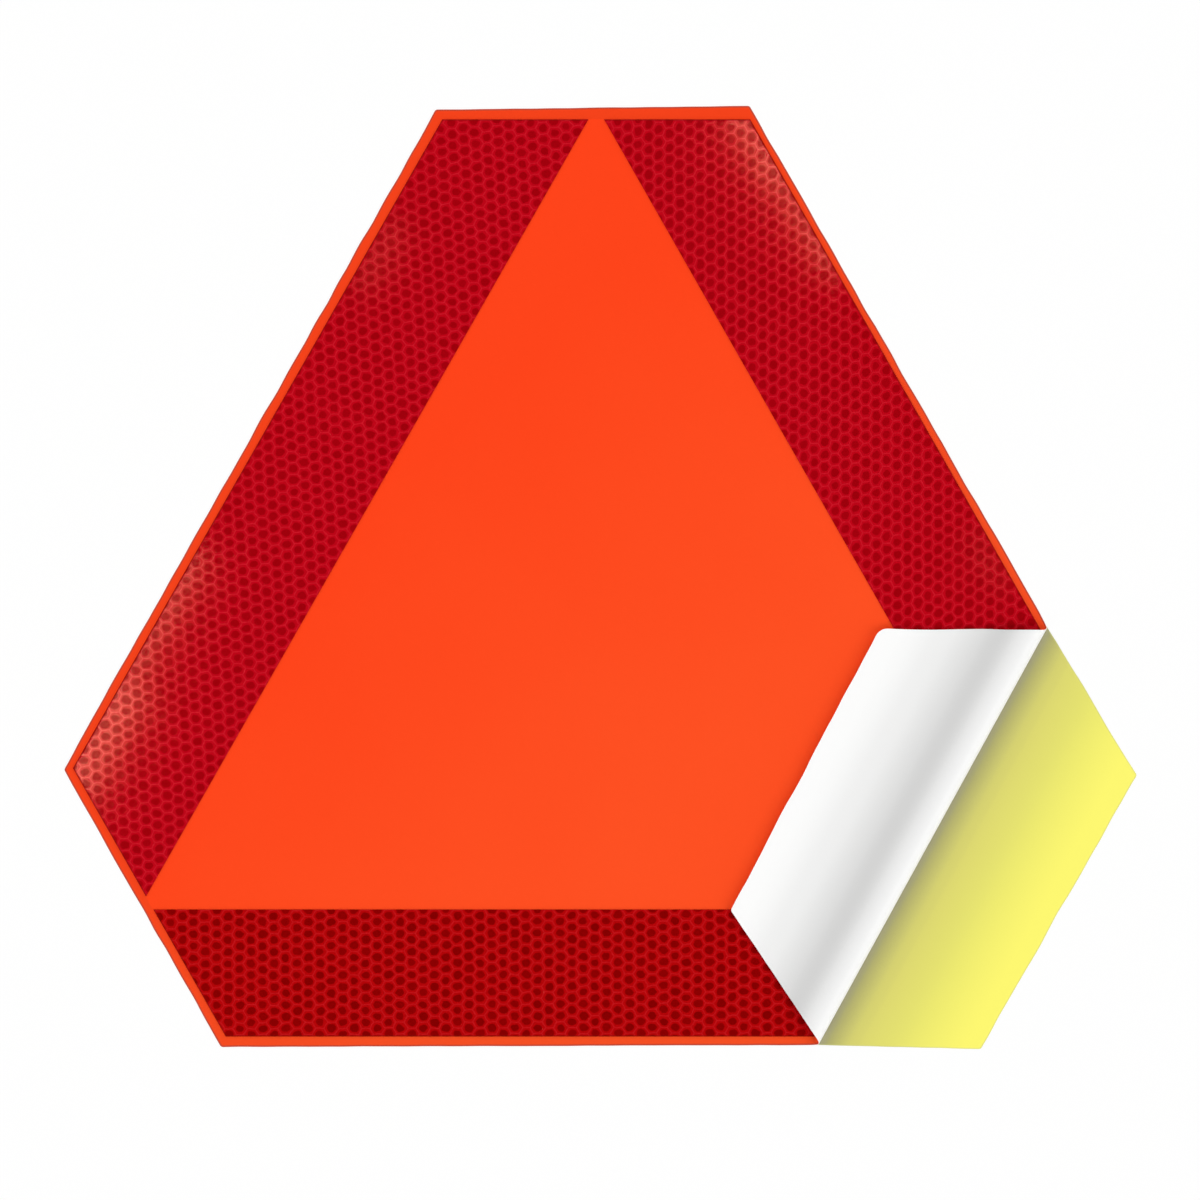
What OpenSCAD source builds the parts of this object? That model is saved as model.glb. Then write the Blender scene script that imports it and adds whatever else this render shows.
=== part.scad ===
// Slow moving vehicle sign in the form of a self-adhesive decal.
// An orange film with three red reflective strips lies on its release liner.
// The lower right corner of the film is peeled up and folded back over the face.
// The frame's origin is the centre of the orange triangle, on the back of the liner.

/* [Orange triangle] */
// Length of the triangle's bottom side, between the points where its sides meet
triangle_base = 351.3; // [330:0.5:370]
// Slope of the triangle's two upper sides, in degrees
side_slope = 60.35; // [59.5:0.05:61.5]

/* [Reflective strips] */
// Width of each red strip
strip_w = 48.7; // [38:0.1:60]
// Distance from the triangle's centre to the strips' ends at the top
top_end_reach = 201.1; // [190:0.1:203]
// Distance from the triangle's centre to the strips' ends at the lower left
left_end_reach = 198.2; // [188:0.2:203]
// Distance from the triangle's centre to the strips' ends at the lower right
right_end_reach = 201.4; // [188:0.2:203]

/* [Orange margins] */
// Margin of film outside the left strip
left_margin = 3.7; // [1:0.1:8]
// Margin of film outside the right strip
right_margin = 2.9; // [1:0.1:8]
// Margin of film below the bottom strip
bottom_margin = 3.7; // [1:0.1:8]
// Margin of film above the strips' ends at the top
top_margin = 4.6; // [1:0.1:8]
// Margin of film beyond the strips' ends at the lower left
left_corner_margin = 3.7; // [1:0.1:8]
// Margin beyond the strips' ends at the lower right, on the liner
right_corner_margin = 4.2; // [1:0.1:8]

/* [Cut edges] */
// Lean of the left edge as it was cut, anticlockwise, in degrees
left_lean = 0.2; // [-0.5:0.1:0.5]
// Lean of the right edge
right_lean = 0.1; // [-0.5:0.1:0.5]
// Lean of the top edge
top_lean = 0.7; // [-1:0.1:1]
// Lean of the bottom edge
bottom_lean = 0.2; // [-0.5:0.1:0.5]
// Lean of the bottom edge past the fold
bottom_tail_lean = -1.5; // [-2:0.1:0.5]
// Lean of the film's right edge past the fold, where it becomes the flap's upper edge
flap_edge_lean = 3.2; // [-1:0.1:4]
// Lean of the liner's right edge past the fold
liner_edge_lean = 1.4; // [-1:0.1:3]
// Radius at the corners of the outline
corner_r = 1.5; // [0.5:0.1:4]
// Radius at the right tip, which the peeled flap carries
tip_r = 5.5; // [2:0.5:9]

/* [Layers] */
// Thickness of the release liner
liner_t = 0.2; // [0.1:0.05:0.4]
// Thickness of the film's white backing
backing_t = 0.15; // [0.1:0.05:0.3]
// Thickness of the orange film
film_t = 0.2; // [0.1:0.05:0.4]
// Thickness of the red strips
strip_t = 0.35; // [0.2:0.05:0.6]
// Thickness of the glue under each layer, which is left open
glue_t = 0.03; // [0.02:0.01:0.06]

/* [Peeled corner] */
// Distance from the triangle's centre to the outside of the fold
fold_reach = 148.7; // [142:0.1:155]
// Turn of the fold from the line of the lower right edge, anticlockwise, in degrees
fold_turn = 0.9; // [-2:0.1:2]
// How much longer than its liner the film has become where it was pulled off
flap_stretch = 1.4; // [0:0.1:3]
// Inner radius of the fold, on the face of the strips
bend_in = 1.5; // [1:0.1:3]
// Lowest gap between the flap and the face that it lies over
flap_gap = 0.7; // [0.3:0.1:1.5]
// Length over which the flap tips down past the fold
dip_len = 12; // [8:0.5:18]
// Length over which it then comes back to level, before it lifts
level_len = 21; // [16:0.5:30]

/* [Hidden] */
bend_steps = 40;
dip_steps = 8;
level_steps = 24;
corner_steps = 6;
least_step = 0.01;

// Outward directions of the six cut edges, in degrees from +X
left_dir = 90 + side_slope;
right_dir = 90 - side_slope;
top_dir = 90;
bottom_dir = 270;
left_corner_dir = 270 - side_slope;
right_corner_dir = 270 + side_slope;

// The triangle's centre has the same distance to each of its sides
side_reach = triangle_base / 2 * tan(side_slope / 2);
strip_reach = side_reach + strip_w;

// Heights above the film's back at which the upper layers start, and the film's whole thickness
film_z = backing_t + glue_t;
strip_z = film_z + film_t + glue_t;
pack_t = strip_z + strip_t;
back_z = liner_t + glue_t;

// The fold, measured on the film's white back
bend_r = bend_in + pack_t;
fold_dir = right_corner_dir + fold_turn;
peel_reach = fold_reach - bend_r;
bend_len = PI * bend_r;
dip_angle = (2 * bend_in - flap_gap) * 2 / (dip_len + level_len) * 180 / PI;

// A line is kept as its outward direction and its distance from the centre
function ray(a) = [cos(a), sin(a)];

function line_through(p, a) = [a, ray(a) * p];

function crossing(m, n) =
    let (s = sin(n[0] - m[0]))
    [(m[1] * sin(n[0]) - n[1] * sin(m[0])) / s, (n[1] * cos(m[0]) - m[1] * cos(n[0])) / s];

function ring_corners(lines) =
    [for (i = [0:len(lines) - 1]) crossing(lines[(i + len(lines) - 1) % len(lines)], lines[i])];

// One corner of an outline, as an arc that touches both sides
function arc_corner(before, p, after, r) =
    let (
        a = (before - p) / norm(before - p),
        b = (after - p) / norm(after - p),
        half = acos(a * b) / 2,
        centre = p + (a + b) / norm(a + b) * r / sin(half),
        start = atan2((p + a * r / tan(half) - centre).y, (p + a * r / tan(half) - centre).x)
    )
    [for (k = [0:corner_steps]) centre + r * ray(start + (180 - 2 * half) * k / corner_steps)];

function rounded(pts, radii) =
    [for (i = [0:len(pts) - 1])
        each radii[i] == 0
            ? [pts[i]]
            : arc_corner(pts[(i + len(pts) - 1) % len(pts)], pts[i], pts[(i + 1) % len(pts)], radii[i])];

// Edges of the film and of its liner, which were cut together
left_edge = [left_dir + left_lean, strip_reach + left_margin];
left_corner_edge = [left_corner_dir, left_end_reach + left_corner_margin];
bottom_edge = [bottom_dir + bottom_lean, strip_reach + bottom_margin];
right_corner_edge = [right_corner_dir, right_end_reach + right_corner_margin];
flap_end_edge = [right_corner_dir, right_end_reach + right_corner_margin + flap_stretch];
right_edge = [right_dir + right_lean, strip_reach + right_margin];
top_edge = [top_dir + top_lean, top_end_reach + top_margin];
fold_line = [fold_dir, fold_reach];
bottom_bend = crossing(bottom_edge, fold_line);
right_bend = crossing(right_edge, fold_line);
bottom_tail = line_through(bottom_bend, bottom_dir + bottom_tail_lean);
flap_edge = line_through(right_bend, right_dir + flap_edge_lean);
liner_edge = line_through(right_bend, right_dir + liner_edge_lean);

// The liner and the film share their corners up to the fold; past it each has its own end and right edge
function sheet_outline(end_edge, past_edge, last_r) = rounded(
    [
        crossing(top_edge, left_edge),
        crossing(left_edge, left_corner_edge),
        crossing(left_corner_edge, bottom_edge),
        bottom_bend,
        crossing(bottom_tail, end_edge),
        crossing(end_edge, past_edge),
        right_bend,
        crossing(right_edge, top_edge)
    ],
    [corner_r, corner_r, corner_r, 0, corner_r, last_r, 0, corner_r]
);
liner_outline = sheet_outline(right_corner_edge, liner_edge, corner_r);
film_outline = sheet_outline(flap_end_edge, flap_edge, tip_r);

// Outlines of the three strips, as they lie before the corner is peeled
top_end = [top_dir, top_end_reach];
left_end = [left_corner_dir, left_end_reach];
right_end = [right_corner_dir, right_end_reach];
function strip_outline(dir, end, start) =
    ring_corners([[dir, strip_reach], end, [dir + 180, -side_reach], start]);
left_outline = strip_outline(left_dir, left_end, top_end);
right_outline = strip_outline(right_dir, top_end, right_end);
bottom_outline = strip_outline(bottom_dir, right_end, left_end);

// In the fold's own frame, x is the distance past the line where the film leaves the liner
fold_ray = ray(fold_dir);
function to_fold(p) = [p * fold_ray - peel_reach, fold_ray.x * p.y - fold_ray.y * p.x];
function from_fold(x, y, z) =
    let (reach = x + peel_reach)
    [reach * fold_ray.x - y * fold_ray.y, reach * fold_ray.y + y * fold_ray.x, back_z + z];

function depth(pts) = max([for (p = pts) to_fold(p).x]);

// The flap's profile is three arcs, each [start x, start z, heading, radius]; a negative radius turns right
function arc_place(arc, turn) = [
    arc[0] + arc[3] * (sin(arc[2] + turn) - sin(arc[2])),
    arc[1] - arc[3] * (cos(arc[2] + turn) - cos(arc[2])),
    arc[2] + turn
];
bend_arc = [0, 0, 0, bend_r];
dip_arc = [each arc_place(bend_arc, 180), dip_len / (dip_angle * PI / 180)];
level_arc = [each arc_place(dip_arc, dip_angle), -level_len / (dip_angle * PI / 180)];
arc_turn = 180 / PI;
function profile(s) =
    s <= bend_len ? arc_place(bend_arc, s / bend_arc[3] * arc_turn)
    : s <= bend_len + dip_len ? arc_place(dip_arc, (s - bend_len) / dip_arc[3] * arc_turn)
    : arc_place(level_arc, (s - bend_len - dip_len) / level_arc[3] * arc_turn);

// Lengths along the film's back at which every layer has a ring of points
film_depth = depth(film_outline);
level_start = bend_len + dip_len;
stations = [
    for (k = [0:bend_steps]) bend_len * k / bend_steps,
    for (k = [1:dip_steps]) bend_len + dip_len * k / dip_steps,
    for (k = [1:level_steps]) level_start + (film_depth - level_start) * k / level_steps
];

// Place, in the profile's plane, of a point t above the film's back; straight between two stations
function layer_point(s, t) = let (p = profile(s)) [p[0] - t * sin(p[2]), p[1] + t * cos(p[2])];
function on_chord(s, t, k = 0) =
    s <= stations[k + 1] || k == len(stations) - 2
        ? let (a = layer_point(stations[k], t), b = layer_point(stations[k + 1], t))
            a + (b - a) * (s - stations[k]) / (stations[k + 1] - stations[k])
        : on_chord(s, t, k + 1);

function sorted(v) =
    len(v) < 2 ? v
    : let (pivot = v[floor(len(v) / 2)])
        [
            each sorted([for (a = v) if (a < pivot) a]),
            pivot,
            each sorted([for (a = v) if (a > pivot) a])
        ];

// Where the outline crosses a line parallel to the fold
function crossings(pts, x) =
    [for (i = [0:len(pts) - 1])
        let (a = pts[i], b = pts[(i + 1) % len(pts)])
        if (a.x != b.x && (a.x - x) * (b.x - x) <= 0)
            a.y + (b.y - a.y) * (x - a.x) / (b.x - a.x)];

// Faces of a wall between two pairs of points, left out where the two points are one
function wall(a, b, b_top, a_top) = a == b ? [] : [[a_top, b_top, b], [a_top, b, a]];

// A layer of the film, from height t0 to t1 above its back, flat as far as the peel and bent beyond it
module bent_layer(outline, t0, t1) {
    pts = [for (p = outline) to_fold(p)];
    count = len(pts);
    deepest = max([for (p = pts) p.x]);
    own = sorted([
        for (s = stations) if (s < deepest - least_step) s,
        for (p = pts) if (p.x > least_step && min([for (s = stations) abs(s - p.x)]) > least_step) p.x,
        if (min([for (s = stations) abs(s - deepest)]) <= least_step) deepest
    ]);
    last = len(own) - 1;
    cuts = [for (s = own) crossings(pts, s)];
    entry = [for (i = [0:count - 1]) if (pts[i].x < 0 && pts[(i + count - 1) % count].x >= 0) i][0];
    flat_count = len([for (p = pts) if (p.x < 0) p]);
    flat = [for (i = [0:flat_count - 1]) pts[(entry + i) % count]];
    tip = max(cuts[last]) - min(cuts[last]) < least_step;

    // Each side of the layer has the flat points first, then a low and a high point for each station
    side = flat_count + 2 * len(own);
    function low(k, top) = top * side + flat_count + 2 * k;
    function high(k, top) = low(k, top) + (k == last && tip ? 0 : 1);
    points = [
        for (t = [t0, t1]) each [
            for (p = flat) from_fold(p.x, p.y, t),
            for (k = [0:last]) each let (q = on_chord(own[k], t))
                [from_fold(q.x, min(cuts[k]), q.y), from_fold(q.x, max(cuts[k]), q.y)]
        ]
    ];
    function rim(top) =
        [high(0, top), for (i = [0:flat_count - 1]) top * side + i, low(0, top)];
    function reversed(v) = [for (i = [len(v) - 1:-1:0]) v[i]];
    function skin(k, top) =
        k == last - 1 && tip
            ? [low(k, top), low(last, top), high(k, top)]
            : [low(k, top), low(k + 1, top), high(k + 1, top), high(k, top)];
    faces = [
        rim(0),
        reversed(rim(1)),
        for (i = [0:flat_count]) each wall(rim(0)[i], rim(0)[i + 1], rim(1)[i + 1], rim(1)[i]),
        for (k = [0:last - 1]) each [
            skin(k, 0),
            reversed(skin(k, 1)),
            each wall(low(k, 0), low(k + 1, 0), low(k + 1, 1), low(k, 1)),
            each wall(high(k + 1, 0), high(k, 0), high(k, 1), high(k + 1, 1))
        ],
        each wall(low(last, 0), high(last, 0), high(last, 1), low(last, 1))
    ];
    polyhedron(points = points, faces = faces, convexity = 6);
}

module release_liner() {
    color([0.96, 0.92, 0.4])
        linear_extrude(liner_t)
            polygon(liner_outline);
}

module white_backing() {
    color([0.95, 0.95, 0.95])
        bent_layer(film_outline, 0, backing_t);
}

module orange_film() {
    color([1, 0.28, 0.11])
        bent_layer(film_outline, film_z, film_z + film_t);
}

module left_strip() {
    color([0.68, 0.03, 0.09])
        translate([0, 0, back_z + strip_z])
            linear_extrude(strip_t)
                polygon(left_outline);
}

module right_strip() {
    color([0.68, 0.03, 0.09])
        bent_layer(right_outline, strip_z, pack_t);
}

module bottom_strip() {
    color([0.64, 0.03, 0.05])
        bent_layer(bottom_outline, strip_z, pack_t);
}

release_liner();
white_backing();
orange_film();
left_strip();
right_strip();
bottom_strip();
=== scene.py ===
"""Looks of a slow moving vehicle sign, a decal on its release liner with one corner folded back.

The sheets are drawn flat, in millimetres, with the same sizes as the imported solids, and are then laid on the
liner and bent round the fold. The red strips get their honeycomb as real relief.
"""

import logging
import math
import random
from dataclasses import dataclass
from enum import Enum
from functools import reduce
from typing import Any, Callable, Dict, Iterator, List, Optional, Sequence, Set, Tuple, Union

import bmesh
import bpy
from bmesh.types import BMesh, BMVert
from bpy.types import ID, ColorRamp, Material, NodeSocket, Object
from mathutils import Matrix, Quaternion, Vector, noise


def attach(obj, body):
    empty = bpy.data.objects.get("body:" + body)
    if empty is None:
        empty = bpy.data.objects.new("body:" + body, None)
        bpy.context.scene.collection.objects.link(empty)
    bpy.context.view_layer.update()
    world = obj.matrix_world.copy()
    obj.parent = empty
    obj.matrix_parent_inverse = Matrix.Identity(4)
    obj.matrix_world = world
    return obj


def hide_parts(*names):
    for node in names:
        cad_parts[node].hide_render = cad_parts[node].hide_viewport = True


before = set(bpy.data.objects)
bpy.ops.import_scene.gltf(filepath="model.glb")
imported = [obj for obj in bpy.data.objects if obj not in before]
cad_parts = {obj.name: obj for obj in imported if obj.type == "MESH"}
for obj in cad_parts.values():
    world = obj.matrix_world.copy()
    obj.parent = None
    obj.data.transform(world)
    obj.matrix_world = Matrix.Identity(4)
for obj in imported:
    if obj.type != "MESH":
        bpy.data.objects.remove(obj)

LOG = logging.getLogger("sign")
MILLI = 0.001
BODY = "root"
CELL_PLACE = "cell_place"
CELL_STATE = "cell_state"
CUT_EDGE = "cut_edge"
SINE_60 = 0.866
# How closely points have to meet where a mesh is cut, in millimetres
CUT_REACH = 1e-6
# Watts per square metre of an area lamp whose face is as bright as white
LAMP_POWER = 4

Pair = Tuple[float, float]
Colour = Tuple[float, float, float]
# Where a smooth step starts and stops, and the values on either side where they aren't 0 and 1
Step = Tuple[float, ...]
Placing = Callable[[Vector], Vector]


class Slot(Enum):
    """The record's material slots, one kept with each piece."""

    LINER = "release_liner"
    BACKING = "white_backing"
    FILM = "orange_film"
    STRIP = "red_strip"


def ray(degrees: float) -> Vector:
    """A flat unit vector at an angle from +X."""
    return Vector((math.cos(math.radians(degrees)), math.sin(math.radians(degrees))))


def around(ring: Sequence[Any]) -> Iterator[Tuple[Any, Any]]:
    """Each item of a closed ring with the next one."""
    return zip(ring, [*ring[1:], ring[0]])


def add_object(name: str, data: ID) -> Object:
    """Add an object to the scene.

    Args:
        name: Its name.
        data: Its mesh, lamp or camera.

    Returns:
        The object.
    """
    made = bpy.data.objects.new(name, data)
    bpy.context.scene.collection.objects.link(made)
    return made


@dataclass(frozen=True)
class Edge:
    """A straight edge, kept as its outward direction in degrees and its distance from the centre."""

    direction: float
    reach: float

    @classmethod
    def through(cls, point: Vector, direction: float) -> "Edge":
        """The edge that faces a direction and passes through a point."""
        return cls(direction, ray(direction).dot(point))

    def meet(self, other: "Edge") -> Vector:
        """The point where two edges cross.

        Args:
            other: The edge that crosses this one.

        Returns:
            The flat point that lies on both.
        """
        a, b = ray(self.direction), ray(other.direction)
        area = a.x * b.y - a.y * b.x
        return Vector((self.reach * b.y - other.reach * a.y, other.reach * a.x - self.reach * b.x)) / area


@dataclass(frozen=True)
class SignLayout:
    """The flat layout of the sign, in millimetres from the centre of its orange triangle."""

    triangle_base: float = 351.3
    side_slope: float = 60.35
    strip_w: float = 48.7
    top_end_reach: float = 201.1
    left_end_reach: float = 198.2
    right_end_reach: float = 201.4
    left_margin: float = 3.7
    right_margin: float = 2.9
    bottom_margin: float = 3.7
    top_margin: float = 4.6
    left_corner_margin: float = 3.7
    right_corner_margin: float = 4.2
    left_lean: float = 0.2
    right_lean: float = 0.1
    top_lean: float = 0.7
    bottom_lean: float = 0.2
    bottom_tail_lean: float = -1.5
    flap_edge_lean: float = 3.2
    liner_edge_lean: float = 1.4
    corner_r: float = 1.5
    tip_r: float = 5.5
    fold_reach: float = 148.7
    fold_turn: float = 0.9
    flap_stretch: float = 1.4
    corner_steps: int = 8

    @property
    def left_dir(self) -> float:
        """Outward direction of the left side."""
        return 90 + self.side_slope

    @property
    def right_dir(self) -> float:
        """Outward direction of the right side."""
        return 90 - self.side_slope

    @property
    def left_corner_dir(self) -> float:
        """Outward direction of the cut at the lower left corner."""
        return 270 - self.side_slope

    @property
    def right_corner_dir(self) -> float:
        """Outward direction of the cut at the lower right corner."""
        return 270 + self.side_slope

    @property
    def side_reach(self) -> float:
        """Distance from the centre to each side of the orange triangle."""
        return self.triangle_base / 2 * math.tan(math.radians(self.side_slope / 2))

    @property
    def strip_reach(self) -> float:
        """Distance from the centre to the outer side of each strip."""
        return self.side_reach + self.strip_w

    @property
    def fold_dir(self) -> float:
        """Direction in which the fold faces."""
        return self.right_corner_dir + self.fold_turn

    def rounded(self, corners: Sequence[Vector], radii: Sequence[float]) -> List[Vector]:
        """Round the corners of an outline.

        Args:
            corners: The outline's sharp corners, anticlockwise.
            radii: The radius at each corner, or 0 to keep it.

        Returns:
            The outline with an arc at each rounded corner.
        """
        outline = []
        for i, (corner, radius) in enumerate(zip(corners, radii)):
            if not radius:
                outline.append(corner)
                continue
            before = (corners[i - 1] - corner).normalized()
            after = (corners[(i + 1) % len(corners)] - corner).normalized()
            half = before.angle(after) / 2
            centre = corner + (before + after).normalized() * radius / math.sin(half)
            first = corner + before * radius / math.tan(half) - centre
            start = math.degrees(math.atan2(first.y, first.x))
            sweep = 180 - 2 * math.degrees(half)
            turns = [start + sweep * k / self.corner_steps for k in range(self.corner_steps + 1)]
            outline += [centre + radius * ray(turn) for turn in turns]
        return outline

    def sheet_outlines(self) -> Tuple[List[Vector], List[Vector]]:
        """Draw the two sheets that were cut together.

        Returns:
            The outline of the liner and the outline of the film.
        """
        left = Edge(self.left_dir + self.left_lean, self.strip_reach + self.left_margin)
        left_corner = Edge(self.left_corner_dir, self.left_end_reach + self.left_corner_margin)
        bottom = Edge(270 + self.bottom_lean, self.strip_reach + self.bottom_margin)
        right_corner = Edge(self.right_corner_dir, self.right_end_reach + self.right_corner_margin)
        flap_end = Edge(self.right_corner_dir, right_corner.reach + self.flap_stretch)
        right = Edge(self.right_dir + self.right_lean, self.strip_reach + self.right_margin)
        top = Edge(90 + self.top_lean, self.top_end_reach + self.top_margin)
        fold = Edge(self.fold_dir, self.fold_reach)
        bottom_bend, right_bend = bottom.meet(fold), right.meet(fold)
        bottom_tail = Edge.through(bottom_bend, 270 + self.bottom_tail_lean)
        flap_edge = Edge.through(right_bend, self.right_dir + self.flap_edge_lean)
        liner_edge = Edge.through(right_bend, self.right_dir + self.liner_edge_lean)
        shared = [top.meet(left), left.meet(left_corner), left_corner.meet(bottom), bottom_bend]

        def outline(end: Edge, past: Edge, last_r: float) -> List[Vector]:
            """Draw a sheet with its own edges past the fold.

            Args:
                end: The edge at the lower right.
                past: The right edge past the fold.
                last_r: The radius where these two meet.

            Returns:
                The sheet's outline, anticlockwise.
            """
            corners = shared + [bottom_tail.meet(end), end.meet(past), right_bend, right.meet(top)]
            radii = [self.corner_r] * 3 + [0, self.corner_r, last_r, 0, self.corner_r]
            return self.rounded(corners, radii)

        return outline(right_corner, liner_edge, self.corner_r), outline(flap_end, flap_edge, self.tip_r)

    def strip_outline(self, outer: Edge, first: Edge, second: Edge) -> List[Vector]:
        """The corners of the strip on an outer side, anticlockwise from its first end to its second."""
        inner = Edge(outer.direction, self.side_reach)
        return [first.meet(outer), outer.meet(second), second.meet(inner), inner.meet(first)]

    def outer_sides(self) -> Tuple[Edge, ...]:
        """The strips' outer sides, on the left, on the right and at the bottom."""
        return tuple(Edge(way, self.strip_reach) for way in (self.left_dir, self.right_dir, 270))

    def ends(self) -> Tuple[Edge, Edge, Edge]:
        """Draw the lines that the strips end on.

        Returns:
            The lines at the top, at the lower left and at the lower right.
        """
        return (
            Edge(90, self.top_end_reach),
            Edge(self.left_corner_dir, self.left_end_reach),
            Edge(self.right_corner_dir, self.right_end_reach),
        )


@dataclass(frozen=True)
class Layers:
    """The thicknesses of the sheets, in millimetres, from the liner up."""

    liner_t: float = 0.2
    backing_t: float = 0.15
    film_t: float = 0.2
    strip_t: float = 0.35
    glue_t: float = 0.03

    @property
    def back_z(self) -> float:
        """Height of the film's back above the surface that the liner lies on."""
        return self.liner_t + self.glue_t

    @property
    def film_z(self) -> float:
        """Height of the orange film above the film's back."""
        return self.backing_t + self.glue_t

    @property
    def strip_z(self) -> float:
        """Height of the strips above the film's back."""
        return self.film_z + self.film_t + self.glue_t

    @property
    def pack_t(self) -> float:
        """Whole thickness of the film with a strip on it."""
        return self.strip_z + self.strip_t


@dataclass(frozen=True)
class Fold:
    """The peeled corner: a tight bend, a dip over the face and a gentle lift to the free edge."""

    layout: SignLayout
    layers: Layers
    bend_in: float = 1.5
    flap_gap: float = 0.7
    dip_len: float = 12.0
    level_len: float = 21.0
    bend_steps: int = 48
    slope_step: float = 1.0
    end_flat: float = 3.0

    @property
    def bend_r(self) -> float:
        """Radius of the bend on the film's white back."""
        return self.bend_in + self.layers.pack_t

    @property
    def peel_reach(self) -> float:
        """Distance from the centre to the line where the film leaves the liner."""
        return self.layout.fold_reach - self.bend_r

    @property
    def dip_angle(self) -> float:
        """How far past level the flap tips, in radians."""
        return (2 * self.bend_in - self.flap_gap) * 2 / (self.dip_len + self.level_len)

    def to_fold(self, point: Vector) -> Vector:
        """Turn a flat point of the sign into the fold's own frame, with x past the peel line."""
        out = ray(self.layout.fold_dir)
        return Vector((point.dot(out) - self.peel_reach, out.x * point.y - out.y * point.x))

    def profile(self, run: float) -> Tuple[float, float, float]:
        """Follow the film's back past the peel line.

        Args:
            run: Length along the back from the peel line, in millimetres.

        Returns:
            How far out and how high that point is, and the film's heading there in radians.
        """
        x, z, heading, left = 0.0, 0.0, 0.0, run
        bend_len = math.pi * self.bend_r
        stretches = (
            (bend_len, self.bend_r),
            (self.dip_len, self.dip_len / self.dip_angle),
            (math.inf, -self.level_len / self.dip_angle),
        )
        for length, radius in stretches:
            turn = min(left, length) / radius
            x += radius * (math.sin(heading + turn) - math.sin(heading))
            z -= radius * (math.cos(heading + turn) - math.cos(heading))
            heading += turn
            left -= min(left, length)
            if left <= 0:
                break
        return x, z, heading

    def stations(self, depth: float) -> List[float]:
        """List the lengths past the peel line at which the sheets are creased into narrow flats.

        The last of these flats is wider, so that it holds the whole of a free edge that was cut by hand.

        Args:
            depth: How far a sheet goes past that line, in millimetres.

        Returns:
            The lengths, from 0 up.
        """
        bend_len = math.pi * self.bend_r
        bend = [bend_len * k / self.bend_steps for k in range(self.bend_steps + 1)]
        count = max(0, int((depth - bend_len - self.end_flat) / self.slope_step))
        return bend + [bend_len + self.slope_step * (k + 1) for k in range(count)]

    def place(self, run: float, along: float, height: float, bent: bool) -> Vector:
        """Turn a point of a sheet into the part's frame, flat or past the fold.

        Args:
            run: Length along the sheet past the peel line, in millimetres.
            along: Distance along that line.
            height: Height above the film's back.
            bent: Whether the sheet goes round the fold.

        Returns:
            The point in the part's frame, in metres.
        """
        if bent and run > 0:
            x, z, heading = self.profile(run)
            run, height = x - height * math.sin(heading), z + height * math.cos(heading)
        out = ray(self.layout.fold_dir)
        reach = run + self.peel_reach
        x, y = reach * out.x - along * out.y, reach * out.y + along * out.x
        return Vector((x, y, self.layers.back_z + height)) * MILLI


def inset(outline: Sequence[Vector], bite: Callable[[Vector, Vector], float]) -> List[Vector]:
    """Move an outline's points inward.

    Args:
        outline: The outline's points, anticlockwise.
        bite: How far to move a point, from the point and the outline's direction there.

    Returns:
        The moved points.
    """
    moved = []
    for i, point in enumerate(outline):
        along = (outline[(i + 1) % len(outline)] - outline[i - 1]).normalized()
        moved.append(point + Vector((-along.y, along.x)) * bite(point, along))
    return moved


@dataclass(frozen=True)
class HandCut:
    """The slight waviness of an edge that was cut by hand; it only takes material away.

    The depth, the wave and the step are in millimetres; calm, middle and swing are shares of the depth. The
    layer picks one flat layer of the noise.
    """

    depth: float = 0.55
    calm: float = 0.35
    middle: float = 0.5
    swing: float = 0.8
    wave: float = 11.0
    step: float = 3.0
    layer: float = 3.7

    def bite(self, point: Vector, along: Vector) -> float:
        """Work out how much the cut takes away at a point; level edges are cut straighter.

        Args:
            point: The point of the outline.
            along: The outline's direction there.

        Returns:
            The bite, in millimetres.
        """
        slow = noise.noise(Vector((point.x / self.wave, point.y / self.wave, self.layer)))
        share = self.calm + (1 - self.calm) * abs(along.y)
        return self.depth * share * min(1.0, max(0.0, self.middle + self.swing * slow))

    def cut(self, outline: Sequence[Vector]) -> List[Vector]:
        """Cut an outline by hand.

        Args:
            outline: The outline's points, anticlockwise.

        Returns:
            The outline with more points, each moved a little inward.
        """
        dense = []
        for a, b in around(outline):
            count = max(1, round((b - a).length / self.step))
            dense += [a.lerp(b, k / count) for k in range(count)]
        return inset(dense, self.bite)


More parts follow.
